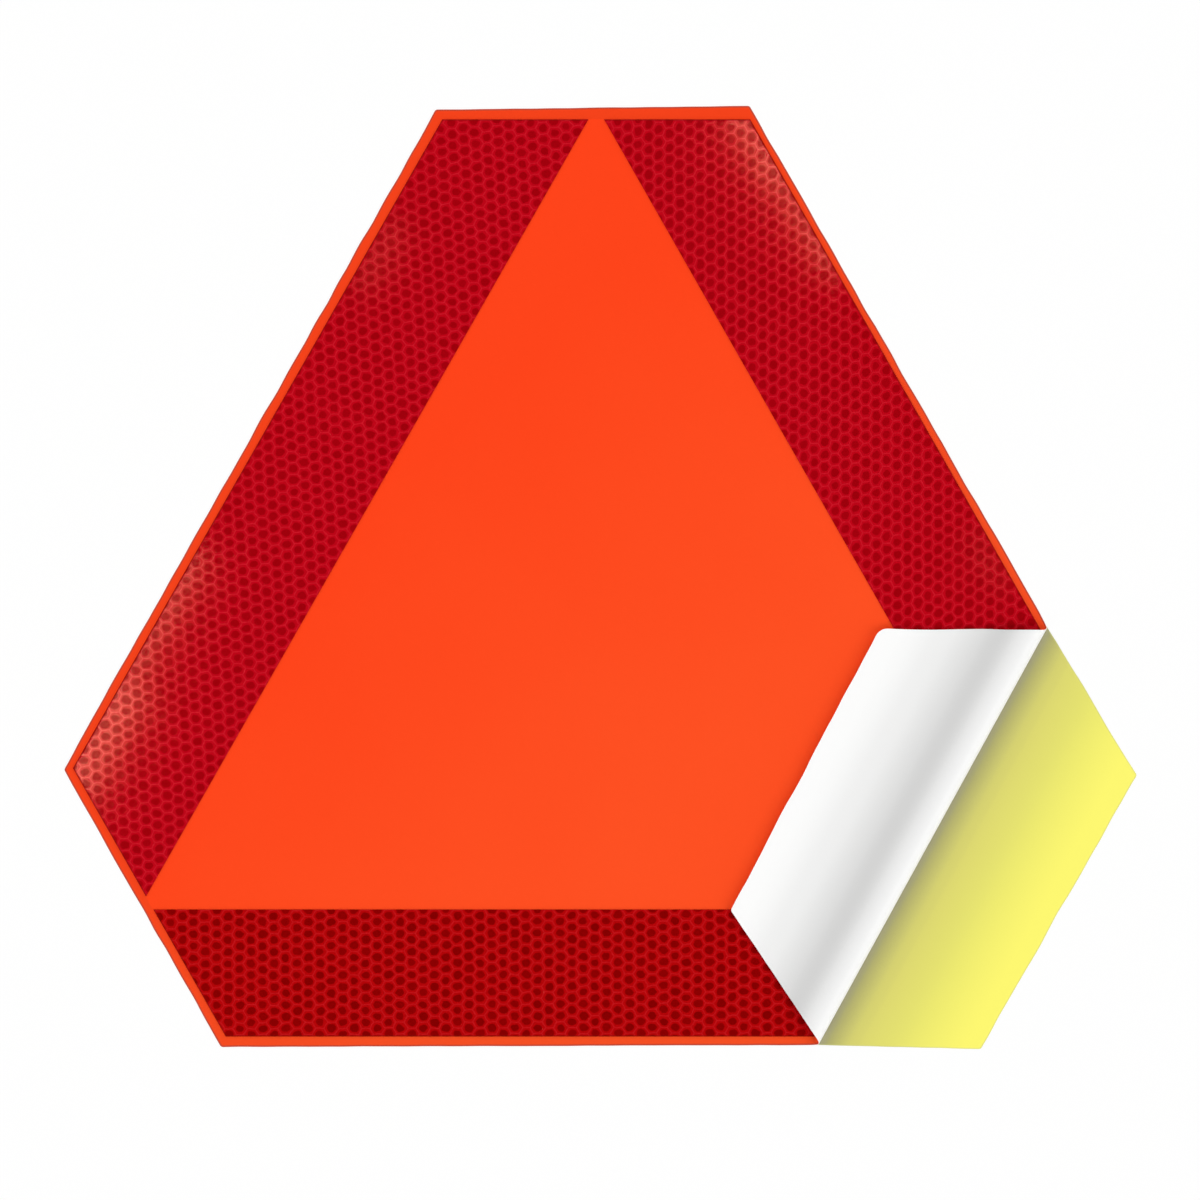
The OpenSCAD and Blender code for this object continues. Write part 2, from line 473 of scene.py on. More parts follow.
@dataclass(frozen=True)
class Honeycomb:
    """The cell pattern of the reflective sheeting: raised walls round shallow dishes.

    The turn is in degrees and lengths are in millimetres. The wall and the slope are shares of half a cell,
    and the reach of a round cell is a share of a whole one.
    """

    turn: float
    pitch: float
    spacing: float
    start: Pair
    seed: int
    wall: float = 0.2
    slope: float = 0.1
    dish: float = 0.04
    wall_roundness: float = 0.15
    dish_roundness: float = 0.6
    round_reach: float = 0.54
    points: int = 12
    join: float = 0.002

    @property
    def rings(self) -> Tuple[Tuple[float, float, float], ...]:
        """The rings of points in a cell, each with its size, its depth and how round it is."""
        dish = 1 - self.wall - self.slope
        return (1.0, 0.0, 0.0), (1 - self.wall, 0.0, self.wall_roundness), (dish, 1.0, self.dish_roundness)

    def steps(self) -> Tuple[Vector, Vector]:
        """The two steps from one cell to the next, in the sign's flat frame."""
        along = ray(self.turn + 90) * self.pitch
        return along, ray(self.turn) * self.spacing + along / 2

    def rim(self, k: int) -> Tuple[Vector, float]:
        """Point k of a regular cell's rim, a corner where k is even, and its share in a round cell."""
        reach = 0.5 / math.cos(math.radians(30)) if k % 2 == 0 else 0.5
        return ray(360 * k / self.points) * reach, self.round_reach / reach

    def centres(self, outline: Sequence[Vector]) -> List[Vector]:
        """Cell centres that lie on an outline or close to it.

        Args:
            outline: A convex outline, anticlockwise.

        Returns:
            The centres, row by row.
        """
        a, b = self.steps()
        first = Vector(self.start)
        span = int(max((p - first).length for p in outline) / self.spacing) + 3
        found = []
        for j in range(-span, span + 1):
            for i in range(-2 * span, 2 * span + 1):
                centre = first + a * i + b * j
                if all((q - p).normalized().cross(centre - p) > -self.pitch for p, q in around(outline)):
                    found.append(centre)
        return found

    def lay(self, bm: BMesh, outline: Sequence[Vector], place: Placing) -> None:
        """Lay cells over an outline, past its edges.

        Args:
            bm: The mesh that takes the cells.
            outline: The strip's outline in the sign's flat frame.
            place: Turns a flat point into the mesh's own flat frame.
        """
        bm.loops.layers.uv.new(CELL_PLACE)
        bm.loops.layers.uv.new(CELL_STATE)
        chance = random.Random(self.seed)
        for centre in self.centres(outline):
            self.add_cell(bm, centre, chance.random(), place)
        bmesh.ops.remove_doubles(bm, verts=bm.verts[:], dist=self.join)

    def add_cell(self, bm: BMesh, centre: Vector, luck: float, place: Placing) -> None:
        """Add one cell: its rim, its wall and its dish.

        Args:
            bm: The mesh that takes the cell.
            centre: The cell's centre in the sign's flat frame.
            luck: The cell's own random number.
            place: Turns a flat point into the mesh's own flat frame.
        """
        along, across = self.steps()
        flats: Dict[BMVert, Tuple[Vector, float]] = {}

        def point(local: Vector, level: float) -> BMVert:
            """Add a point of the cell.

            Args:
                local: Its place in a regular cell.
                level: Its share of the dish's depth.

            Returns:
                Its vertex.
            """
            step = along * (local.y - local.x / math.sqrt(3)) + across * (local.x * 2 / math.sqrt(3))
            spot = place(centre + step)
            vert = bm.verts.new((spot.x, spot.y, -self.dish * level))
            flats[vert] = (local, level)
            return vert

        rows = []
        for share, level, roundness in self.rings:
            row = []
            for rim, round_share in (self.rim(k) for k in range(self.points)):
                row.append(point(rim * share * (1 + (round_share - 1) * roundness), level))
            rows.append(row)
        middle = point(Vector((0.0, 0.0)), 1.0)
        faces = []
        for k, n in around(range(self.points)):
            for outer, inner in zip(rows, rows[1:]):
                faces.append(bm.faces.new((outer[k], outer[n], inner[n], inner[k])))
            faces.append(bm.faces.new((rows[-1][k], rows[-1][n], middle)))
        place_map, state_map = (bm.loops.layers.uv[name] for name in (CELL_PLACE, CELL_STATE))
        for loop in (loop for face in faces for loop in face.loops):
            local, level = flats[loop.vert]
            loop[place_map].uv = local
            loop[state_map].uv = (luck, level)


@dataclass
class Sheet:
    """One sheet of the decal, as a closed mesh."""

    name: str
    node: str
    slot: Slot
    outline: List[Vector]
    low: float
    high: float
    fold: Fold
    bent: bool = True
    comb: Optional[Honeycomb] = None
    sharp_angle: float = 35.0
    rim: float = 0.8
    close: float = 1e-5

    def flat_mesh(self) -> BMesh:
        """Draw the sheet's upper face.

        Returns:
            The face in the fold's flat frame, cut to the sheet's outline.
        """
        bm = bmesh.new()
        corners = [self.fold.to_fold(p) for p in self.outline]
        if self.comb is None:
            self.fill(bm, corners)
            return bm
        self.comb.lay(bm, self.outline, self.fold.to_fold)
        for p, q in around(corners):
            out = Vector((q.y - p.y, p.x - q.x, 0)).normalized()
            self.slice(bm, Vector((p.x, p.y, 0)), out, True)
        return bm

    def fill(self, bm: BMesh, corners: Sequence[Vector]) -> None:
        """Fill an outline with one face, inside a narrow rim whose map goes from 1 at the cut edge to 0.

        Args:
            bm: The mesh that takes the faces.
            corners: The outline in the fold's flat frame.
        """
        edge_map = bm.loops.layers.uv.new(CUT_EDGE)
        outer = [bm.verts.new((p.x, p.y, 0)) for p in corners]
        inner = [bm.verts.new((p.x, p.y, 0)) for p in inset(corners, lambda point, along: self.rim)]
        bm.faces.new(inner)
        for (a, b), (c, d) in zip(around(outer), around(inner)):
            bm.faces.new((a, b, d, c))
        at_edge = set(outer)
        for face in bm.faces:
            for loop in face.loops:
                loop[edge_map].uv = (1.0 if loop.vert in at_edge else 0.0, 0.0)

    @staticmethod
    def slice(bm: BMesh, point: Vector, out: Vector, clear: bool) -> None:
        """Cut a mesh along the plane through a point, and clear what lies past it if that is wanted."""
        geom = bm.verts[:] + bm.edges[:] + bm.faces[:]
        bmesh.ops.bisect_plane(bm, geom=geom, dist=CUT_REACH, plane_co=point, plane_no=out, clear_outer=clear)

    @staticmethod
    def rim_of(bm: BMesh) -> List[BMVert]:
        """Follow the mesh's boundary.

        Args:
            bm: A flat mesh without holes.

        Returns:
            Its boundary's vertices, anticlockwise.
        """
        following = {}
        for edge in bm.edges:
            if edge.is_boundary:
                loop = edge.link_loops[0]
                following[loop.vert] = loop.link_loop_next.vert
        start = next(iter(following))
        ring = [start]
        while following[ring[-1]] is not start:
            ring.append(following[ring[-1]])
        return ring

    def close_below(self, bm: BMesh, stations: Sequence[float]) -> Set[BMVert]:
        """Close a flat mesh with its cut sides and a lower face.

        Args:
            bm: The sheet's upper face.
            stations: Where the lower face is creased.

        Returns:
            The vertices of the lower face.
        """
        rim = self.rim_of(bm)
        under = [bm.verts.new((v.co.x, v.co.y, 0)) for v in rim]
        for (a, b), (c, d) in zip(around(under), around(rim)):
            bm.faces.new((a, b, d, c))
        limits = [-math.inf, *stations, math.inf]
        for start, stop in zip(limits, limits[1:]):
            part = [v for v in under if start - self.close <= v.co.x <= stop + self.close]
            if len(part) > 2:
                bm.faces.new(part[::-1])
        return set(under)

    def build(self) -> Object:
        """Build the sheet.

        Returns:
            The sheet's object, which rides on the part and stands for its node.
        """
        bm = self.flat_mesh()
        depth = max(v.co.x for v in bm.verts)
        stations = [run for run in self.fold.stations(depth) if self.bent and run < depth - self.close]
        for run in stations:
            self.slice(bm, Vector((run, 0, 0)), Vector((1, 0, 0)), False)
        lower = self.close_below(bm, stations)
        for v in bm.verts:
            height = self.low if v in lower else self.high + v.co.z
            v.co = self.fold.place(v.co.x, v.co.y, height, self.bent)
        mesh = bpy.data.meshes.new(self.name)
        bm.to_mesh(mesh)
        bm.free()
        mesh.shade_smooth()
        mesh.set_sharp_from_angle(angle=math.radians(self.sharp_angle))
        sheet = add_object(self.name, mesh)
        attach(sheet, BODY)
        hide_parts(self.node)
        LOG.info("%s: %d faces", self.name, len(mesh.polygons))
        return sheet


Dressed = Tuple[Sheet, Material]


@dataclass(frozen=True)
class Tone:
    """A colour at a distance in millimetres."""

    run: float
    colour: Colour


Fed = Union["Signal", float, Sequence[float]]


class Signal:
    """A shader socket that can stand in sums as a number does."""

    def __init__(self, shader: "NodeTree", socket: NodeSocket) -> None:
        """Wrap one output socket of a tree's nodes."""
        self.shader = shader
        self.socket = socket

    def sum_with(self, operation: str, first: Fed, second: Fed) -> "Signal":
        """One Math node on two values."""
        return self.shader.node("ShaderNodeMath", {"operation": operation}, {0: first, 1: second})

    def __add__(self, other: Fed) -> "Signal":
        """This plus a value."""
        return self.sum_with("ADD", self, other)

    __radd__ = __add__

    def __sub__(self, other: Fed) -> "Signal":
        """This less a value."""
        return self.sum_with("SUBTRACT", self, other)

    def __rsub__(self, other: Fed) -> "Signal":
        """A value less this."""
        return self.sum_with("SUBTRACT", other, self)

    def __mul__(self, other: Fed) -> "Signal":
        """This times a value."""
        return self.sum_with("MULTIPLY", self, other)

    __rmul__ = __mul__

    def __truediv__(self, other: Fed) -> "Signal":
        """This over a value."""
        return self.sum_with("DIVIDE", self, other)

    def __abs__(self) -> "Signal":
        """This without its sign."""
        return self.sum_with("ABSOLUTE", self, 0.0)

    def fraction(self) -> "Signal":
        """What is left of this after its whole number."""
        return self.sum_with("FRACT", self, 0.0)

    def most(self, other: Fed) -> "Signal":
        """The larger of this and a value."""
        return self.sum_with("MAXIMUM", self, other)

    def least(self, other: Fed) -> "Signal":
        """The smaller of this and a value."""
        return self.sum_with("MINIMUM", self, other)

    def eased(self, start: float, stop: float, low: float = 0.0, high: float = 1.0) -> "Signal":
        """A smooth step from low to high, where this goes from start to stop."""
        inputs = {0: self, 1: start, 2: stop, 3: low, 4: high}
        return self.shader.node("ShaderNodeMapRange", {"interpolation_type": "SMOOTHSTEP"}, inputs)


class NodeTree:
    """A tree of shader nodes under construction."""

    def __init__(self, tree: bpy.types.NodeTree) -> None:
        """Take up a tree, with the nodes that it already has."""
        self.tree = tree

    def feed(self, socket: NodeSocket, value: Fed) -> None:
        """Link a signal to a socket, or set the socket's own value.

        Args:
            socket: The input socket.
            value: The signal, number or colour that it takes.
        """
        if isinstance(value, Signal):
            self.tree.links.new(value.socket, socket)
        elif isinstance(value, (int, float)):
            socket.default_value = value
        else:
            size = len(socket.default_value)
            socket.default_value = (tuple(value) + (1.0,))[:size]

    def node(
        self,
        kind: str,
        settings: Optional[Dict[str, Any]] = None,
        inputs: Optional[Dict[Any, Fed]] = None,
        output: Any = 0,
    ) -> Signal:
        """Add a node.

        Args:
            kind: The node's type.
            settings: Its settings; stops holds a colour ramp's stops as places and colours.
            inputs: Values or signals for its sockets, by name or number.
            output: Name or number of the socket that is wanted.

        Returns:
            The signal of that socket.
        """
        made = self.tree.nodes.new(kind)
        for key, value in (settings or {}).items():
            if key == "stops":
                self.set_stops(made.color_ramp, value)
            else:
                setattr(made, key, value)
        for key, value in (inputs or {}).items():
            self.feed(made.inputs[key], value)
        return Signal(self, made.outputs[output])

    @staticmethod
    def set_stops(ramp: ColorRamp, stops: Sequence[Tuple[float, Colour]]) -> None:
        """Give a colour ramp its stops, with smooth steps between them.

        Args:
            ramp: The ramp.
            stops: The places from 0 to 1 and their colours.
        """
        ramp.interpolation = "CARDINAL"
        while len(ramp.elements) < len(stops):
            ramp.elements.new(1.0)
        for element, (place, colour) in zip(ramp.elements, stops):
            element.position = place
            element.color = (*colour, 1.0)

    def mix(self, share: Fed, first: Fed, second: Fed, blend: str = "MIX") -> Signal:
        """Mix two colours."""
        settings = {"data_type": "RGBA", "blend_type": blend}
        return self.node("ShaderNodeMix", settings, {0: share, 6: first, 7: second}, 2)

    @staticmethod
    def clamped(value: Signal) -> Signal:
        """A value kept between 0 and 1."""
        return value.most(0.0).least(1.0)

    def vector(self, operation: str, *values: Fed, output: str = "Vector") -> Signal:
        """One Vector Math node on some values."""
        return self.node("ShaderNodeVectorMath", {"operation": operation}, dict(enumerate(values)), output)

    def clouds(self, place: Fed, scale: float, detail: float = 2.0, output: int = 0) -> Signal:
        """Soft noise from 0 to 1 over a place; output 1 holds three noises."""
        inputs = {"Vector": place, "Scale": scale, "Detail": detail}
        return self.node("ShaderNodeTexNoise", {}, inputs, output)

    def place(self) -> Signal:
        """The place in the part's frame, in metres."""
        return self.node("ShaderNodeTexCoord", output="Object")

    def attribute(self, name: str) -> Signal:
        """A value that is stored in the mesh."""
        return self.node("ShaderNodeAttribute", {"attribute_name": name}, output="Vector")

    def parts(self, vector: Signal) -> Tuple[Signal, Signal, Signal]:
        """A vector's x, y and z."""
        x = self.node("ShaderNodeSeparateXYZ", inputs={0: vector})
        return x, *(Signal(self, output) for output in x.socket.node.outputs[1:])


class Shader(NodeTree):
    """A material under construction, with one Principled shader."""

    def __init__(self, name: str, roughness: float, specular: float) -> None:
        """Start a material whose gloss is the same all over.

        Args:
            name: The material's name.
            roughness: Roughness of its surface.
            specular: Level of its plain reflections.
        """
        self.material = bpy.data.materials.new(name)
        self.material.use_nodes = True
        super().__init__(self.material.node_tree)
        self.surface = self.tree.nodes["Principled BSDF"]
        self.paint("Roughness", roughness)
        self.paint("Specular IOR Level", specular)

    def beyond(self, place: Signal, edges: Sequence[Edge]) -> Signal:
        """How far a place lies past any of several edges.

        Args:
            place: The place, in the part's frame.
            edges: The edges of a convex outline, or some of them.

        Returns:
            The distance in millimetres, which is negative inside all of them.
        """
        past = []
        for edge in edges:
            reach = self.vector("DOT_PRODUCT", place, (*ray(edge.direction), 0.0), output="Value")
            past.append(reach / MILLI - edge.reach)
        return reduce(Signal.most, past)

    def fade(self, run: Signal, shade_tones: Sequence[Tone]) -> Signal:
        """The painted shade colour at a distance in millimetres, from the shade tones at some distances from 0
        up.
        """
        stops = [(tone.run / shade_tones[-1].run, tone.colour) for tone in shade_tones]
        return self.node("ShaderNodeValToRGB", {"stops": stops}, {0: run / shade_tones[-1].run})

    def bump(self, height: Signal, depth: float) -> None:
        """Give the surface fine relief of a depth in metres."""
        relief = self.node("ShaderNodeBump", {}, {"Height": height, "Distance": depth, "Strength": 1.0})
        self.paint("Normal", relief)

    def paint(self, socket: str, value: Fed) -> None:
        """Feed a signal or a value to one of the Principled shader's sockets."""
        self.feed(self.surface.inputs[socket], value)


@dataclass(frozen=True)
class OrangeFinish:
    """Fluorescent orange film: matte, very even, a little yellower towards the lower right."""

    frame_edges: Tuple[Edge, ...]
    upper: Colour = (0.992, 0.056, 0.0092)
    lower: Colour = (0.992, 0.079, 0.0150)
    margin: Colour = (0.915, 0.97, 1.05)
    # Painted shade: a darker rim along the cut edge, for the shaded side of the edge.
    cut: Colour = (0.55, 0.065, 0.032)
    drift_start: float = 0.6
    drift_rate: float = 4.4
    cloud_scale: float = 14.0
    cloud_share: float = 0.5
    margin_step: Step = (-0.2, 0.6)
    cut_shade_step: Step = (0.0, 0.5)
    grain_scale: float = 2600.0
    grain_depth: float = 0.000012
    gloss_step: Step = (0.2, 0.8, 0.55, 0.67)
    roughness: float = 0.6
    specular: float = 0.03

    def material(self) -> Material:
        """Make the material.

        Returns:
            The finished material.
        """
        shader = Shader("fluorescent orange film", self.roughness, self.specular)
        place = shader.place()
        x, y, _ = shader.parts(place)
        slow = shader.clouds(place, self.cloud_scale, 3.0)
        drift = self.drift_start + self.drift_rate * (x - y) + self.cloud_share * (slow - 0.5)
        colour = shader.mix(shader.clamped(drift), self.upper, self.lower)
        outside = shader.beyond(place, self.frame_edges).eased(*self.margin_step)
        colour = shader.mix(outside, colour, self.margin, "MULTIPLY")
        # Painted shade along the cut edge.
        rim, _, _ = shader.parts(shader.attribute(CUT_EDGE))
        shader.paint("Base Color", shader.mix(rim.eased(*self.cut_shade_step), colour, self.cut))
        grain = shader.clouds(place, self.grain_scale)
        shader.bump(grain, self.grain_depth)
        shader.paint("Roughness", grain.eased(*self.gloss_step))
        return shader.material


@dataclass(frozen=True)
class StripTone:
    """The reds of one strip: its dark cells, the film between and the pale walls."""

    dark: Colour
    middle: Colour
    pale: Colour


@dataclass(frozen=True)
class StripFinish:
    """Prismatic reflective sheeting: dark rounded cells, paler walls and a glossy, faintly metallic face.

    The blob and the wall are sized in the cell's unit, and the painted shade line at the outer edges in
    millimetres.
    """

    name: str
    tone: StripTone
    outer_edges: Tuple[Edge, ...]
    # Painted shade: a dark line along the strips' outer edges, where the strip's side wall stands in shade.
    edge_shade: Colour = (0.2, 0.006, 0.004)
    edge_shade_share: float = 0.55
    edge_shade_step: Step = (-0.7, -0.3)
    roughness: float = 0.1
    metallic: float = 0.06
    coat: float = 0.35
    coat_roughness: float = 0.08
    flat_step: Step = (0.0, 0.03, 1.0, 0.0)
    blob_dullness: float = 0.7
    warp: float = 0.25
    warp_scale: float = 330.0
    luck_spread: float = 17.3
    nudge: float = 0.07
    roundness: float = 0.7
    blob_step: Step = (0.27, 0.36, 1.0, 0.0)
    blob_wobble: float = 0.14
    blob_luck: float = 0.04
    blob_depth: float = 0.92
    depth_luck: float = 0.2
    wall_step: Step = (0.435, 0.485)
    wall_wobble: float = 0.04
    wall_share: float = 0.7
    wobble_scale: float = 420.0
    mottle_scale: float = 900.0
    depth_mottle: float = 0.3
    wall_mottle: float = 1.4
    gloss_mottle: float = 0.06

    def masks(self, shader: Shader, place: Signal, luck: Signal, other: Signal) -> Tuple[Signal, Signal]:
        """Draw a cell's dark blob and pale walls, pulled a little out of their regular shape.

        Args:
            shader: The material under construction.
            place: The place on the strip.
            luck: The cell's own random number.
            other: Another one.

        Returns:
            The blob and the walls, each from 0 to 1.
        """
        bend = shader.clouds(place, self.warp_scale, 1.0, output=1)
        regular = shader.attribute(CELL_PLACE)
        pulled = shader.vector("MULTIPLY_ADD", bend, (self.warp, self.warp, 0.0), regular)
        local = shader.vector("ADD", pulled, (-self.warp / 2, -self.warp / 2, 0.0))
        nudges = {0: (luck - 0.5) * self.nudge, 1: (other - 0.5) * self.nudge}
        moved = shader.vector("ADD", local, shader.node("ShaderNodeCombineXYZ", {}, nudges))
        far = shader.vector("LENGTH", moved, output="Value")
        x, y, _ = shader.parts(local)
        side = abs(y).most(abs(y * 0.5 + x * SINE_60)).most(abs(y * 0.5 - x * SINE_60))
        wobble = shader.clouds(place, self.wobble_scale) - 0.5
        reach = far * self.roundness + side * (1 - self.roundness)
        blob = (reach + self.blob_wobble * wobble + self.blob_luck * (luck - 0.5)).eased(*self.blob_step)
        return blob, (side + self.wall_wobble * wobble).eased(*self.wall_step)

    def material(self) -> Material:
        """Make the material.

        Returns:
            The finished material.
        """
        shader = Shader(self.name, self.roughness, 0.0)
        shader.paint("Coat Roughness", self.coat_roughness)
        place = shader.place()
        luck, level, _ = shader.parts(shader.attribute(CELL_STATE))
        other = (luck * self.luck_spread).fraction()
        blob, wall = self.masks(shader, place, luck, other)
        mottle = shader.clouds(place, self.mottle_scale) - 0.5
        depth = blob * (self.blob_depth + self.depth_luck * (other - 0.5)) + self.depth_mottle * mottle
        colour = shader.mix(shader.clamped(depth), self.tone.middle, self.tone.dark)
        walls = shader.clamped(wall * (self.wall_share + self.wall_mottle * mottle))
        colour = shader.mix(walls, colour, self.tone.pale)
        # Painted shade along the outer edges, which also takes the gloss away there.
        rim = shader.beyond(place, self.outer_edges).eased(*self.edge_shade_step)
        shader.paint("Base Color", shader.mix(rim * self.edge_shade_share, colour, self.edge_shade))
        flat = (level * (1.0 - level)).eased(*self.flat_step)
        polish = (1.0 - self.blob_dullness * blob) * flat * (1.0 - rim)
        shader.paint("Metallic", self.metallic * polish)
        shader.paint("Coat Weight", self.coat * polish)
        shader.paint("Roughness", mottle * self.gloss_mottle + self.roughness)
        return shader.material


@dataclass(frozen=True)
class SatinFinish:
    """A satin sheet with shade painted into its colour, changing with the distance from the fold."""

    fold: Edge
    name: str
    shade_tones: Tuple[Tone, ...]
    way: int
    grain_scale: float
    grain_share: float
    # Painted shade: a darker rim along the cut edge, where a sheet has one.
    cut: Optional[Colour] = None
    cut_shade_step: Step = (0.2, 1.0, 0.0, 0.6)
    grain_depth: float = 0.00001
    roughness: float = 0.45
    specular: float = 0.05

    def material(self) -> Material:
        """Make the material.

        Returns:
            The finished material.
        """
        shader = Shader(self.name, self.roughness, self.specular)
        place = shader.place()
        grain = shader.clouds(place, self.grain_scale, 3.0)
        run = shader.beyond(place, [self.fold]) * self.way + self.grain_share * (grain - 0.5)
        # Painted shade: the colour follows the shade tones by the distance from the fold.
        colour = shader.fade(run, self.shade_tones)
        # Painted shade along the cut edge.
        if self.cut:
            rim, _, _ = shader.parts(shader.attribute(CUT_EDGE))
            colour = shader.mix(rim.eased(*self.cut_shade_step), colour, self.cut)
        shader.paint("Base Color", colour)
        shader.bump(grain, self.grain_depth)
        return shader.material


@dataclass(frozen=True)
class BackingFinish(SatinFinish):
    """White back of the film, with painted shade in the dip behind the fold over the dip's faint real shading.
    """

    name: str = "white film back"
    # Painted shade: the white darkens into the dip behind the fold and clears again towards the free edge.
    shade_tones: Tuple[Tone, ...] = (
        Tone(0.0, (0.99, 0.99, 0.98)),
        Tone(4.0, (0.92, 0.92, 0.92)),
        Tone(9.5, (0.77, 0.77, 0.77)),
        Tone(14.0, (0.655, 0.655, 0.655)),
        Tone(20.0, (0.715, 0.715, 0.715)),
        Tone(29.0, (0.84, 0.84, 0.84)),
        Tone(38.0, (0.90, 0.90, 0.90)),
        Tone(48.0, (0.98, 0.98, 0.98)),
    )
    way: int = -1
    grain_scale: float = 700.0
    grain_share: float = 0.8


@dataclass(frozen=True)
class LinerFinish(SatinFinish):
    """Pale yellow release liner: smooth coated paper, with painted shade beside the fold over the bend's real
    shadow.
    """

    name: str = "yellow release liner"
    # Painted shade: the yellow is darkest and greyest beside the fold and clears over about 50 mm.
    shade_tones: Tuple[Tone, ...] = (
        Tone(0.0, (0.435, 0.415, 0.265)),
        Tone(3.1, (0.46, 0.44, 0.180)),
        Tone(9.4, (0.635, 0.605, 0.168)),
        Tone(14.5, (0.72, 0.685, 0.165)),
        Tone(30.0, (0.83, 0.80, 0.162)),
        Tone(50.0, (0.99, 0.935, 0.165)),
    )
    way: int = 1
    grain_scale: float = 1500.0
    grain_share: float = 1.2
    # Painted shade along the liner's cut edge.
    cut: Optional[Colour] = (0.62, 0.62, 0.25)


@dataclass(frozen=True)
class Decal:
    """The whole decal: its liner, the two layers of film and the three strips."""

    layout: SignLayout = SignLayout()
    layers: Layers = Layers()
    hand_cut: HandCut = HandCut()
    left_comb: Honeycomb = Honeycomb(turn=3.95, pitch=4.425, spacing=4.367, start=(-111.67, 60.68), seed=11)
    right_comb: Honeycomb = Honeycomb(turn=63.36, pitch=4.426, spacing=4.371, start=(111.39, 65.5), seed=12)
    bottom_comb: Honeycomb = Honeycomb(turn=0.21, pitch=4.541, spacing=4.397, start=(3.89, -129.18), seed=13)
    comb_sharp: float = 3.0
    side_tone: StripTone = StripTone((0.335, 0.0002, 0.0035), (0.515, 0.0015, 0.0088), (0.66, 0.010, 0.024))
    bottom_tone: StripTone = StripTone((0.225, 0.0001, 0.0003), (0.46, 0.0014, 0.0024), (0.60, 0.009, 0.013))

    def plain_sheets(self) -> List[Dressed]:
        """Draw up the liner and the two layers of the film.

        Returns:
            Each sheet with its material, from the liner up.
        """
        layout, layers = self.layout, self.layers
        fold = Fold(layout, layers)
        crease = Edge(layout.fold_dir, layout.fold_reach)
        liner, film = (self.hand_cut.cut(outline) for outline in layout.sheet_outlines())
        liner_low, liner_high = -layers.back_z, -layers.glue_t
        film_top = layers.film_z + layers.film_t
        sheets = (
            Sheet("liner_sheet", "release_liner", Slot.LINER, liner, liner_low, liner_high, fold, False),
            Sheet("film_back", "white_backing", Slot.BACKING, film, 0.0, layers.backing_t, fold),
            Sheet("film_face", "orange_film", Slot.FILM, film, layers.film_z, film_top, fold),
        )
        orange = OrangeFinish((*layout.outer_sides(), *layout.ends()))
        finishes = (LinerFinish(crease), BackingFinish(crease), orange)
        return [(sheet, finish.material()) for sheet, finish in zip(sheets, finishes)]

    def strips(self) -> List[Dressed]:
        """Draw up the strips on top of the orange film, with their walls and dishes shaded apart.

        Returns:
            Each strip with its material.
        """
        layout, layers = self.layout, self.layers
        fold = Fold(layout, layers)
        left_side, right_side, base = layout.outer_sides()
        top, left, right = layout.ends()
        shown_edges = (left_side, right_side, top, left)
        side_red = StripFinish("red sheeting on the sides", self.side_tone, shown_edges).material()
        bottom_red = StripFinish("red sheeting at the bottom", self.bottom_tone, (base, left)).material()
        low, high, sharp = layers.strip_z, layers.pack_t, self.comb_sharp
        strips = []
        for name, node, outer, first, second, comb, red in (
            ("left_comb_strip", "left_strip", left_side, top, left, self.left_comb, side_red),
            ("right_comb_strip", "right_strip", right_side, right, top, self.right_comb, side_red),
            ("bottom_comb_strip", "bottom_strip", base, left, right, self.bottom_comb, bottom_red),
        ):
            outline = layout.strip_outline(outer, first, second)
            strips.append((Sheet(name, node, Slot.STRIP, outline, low, high, fold, True, comb, sharp), red))
        return strips

    def build(self) -> None:
        """Build every sheet and dress it."""
        for sheet, material in self.plain_sheets() + self.strips():
            sheet.build().data.materials.append(material)


@dataclass(frozen=True)
class Softbox:
    """A rectangular studio lamp that faces a point of the sign."""

    name: str
    place: Tuple[float, float, float]
    size: Pair
    brightness: float
    tint: Colour = (1.0, 1.0, 1.0)
    aim: Tuple[float, float, float] = (0.0, 0.0, 0.0)
    spin: float = 0.0

    def hang(self) -> None:
        """Hang the lamp; its brightness is that of its face, where 1 is white."""
        lamp = bpy.data.lights.new(self.name, "AREA")
        lamp.shape = "RECTANGLE"
        lamp.size, lamp.size_y = self.size
        lamp.color = self.tint
        lamp.energy = LAMP_POWER * self.brightness * self.size[0] * self.size[1]
        holder = add_object(self.name, lamp)
        holder.location = self.place
        back = Vector(self.place) - Vector(self.aim)
        holder.rotation_mode = "QUATERNION"
        spin = Quaternion((0, 0, 1), math.radians(self.spin))
        holder.rotation_quaternion = back.to_track_quat("Z", "Y") @ spin


@dataclass(frozen=True)
class Glint:
    """A lamp's mirror image on a strip, with its sizes there in millimetres.

    The side is the outward direction of the strip's edge in degrees, the reach is the distance from the
    sign's centre in that direction, and along is the distance anticlockwise from there.
    """

    name: str
    side: float
    reach: float
    along: float
    length: float
    width: float
    brightness: float


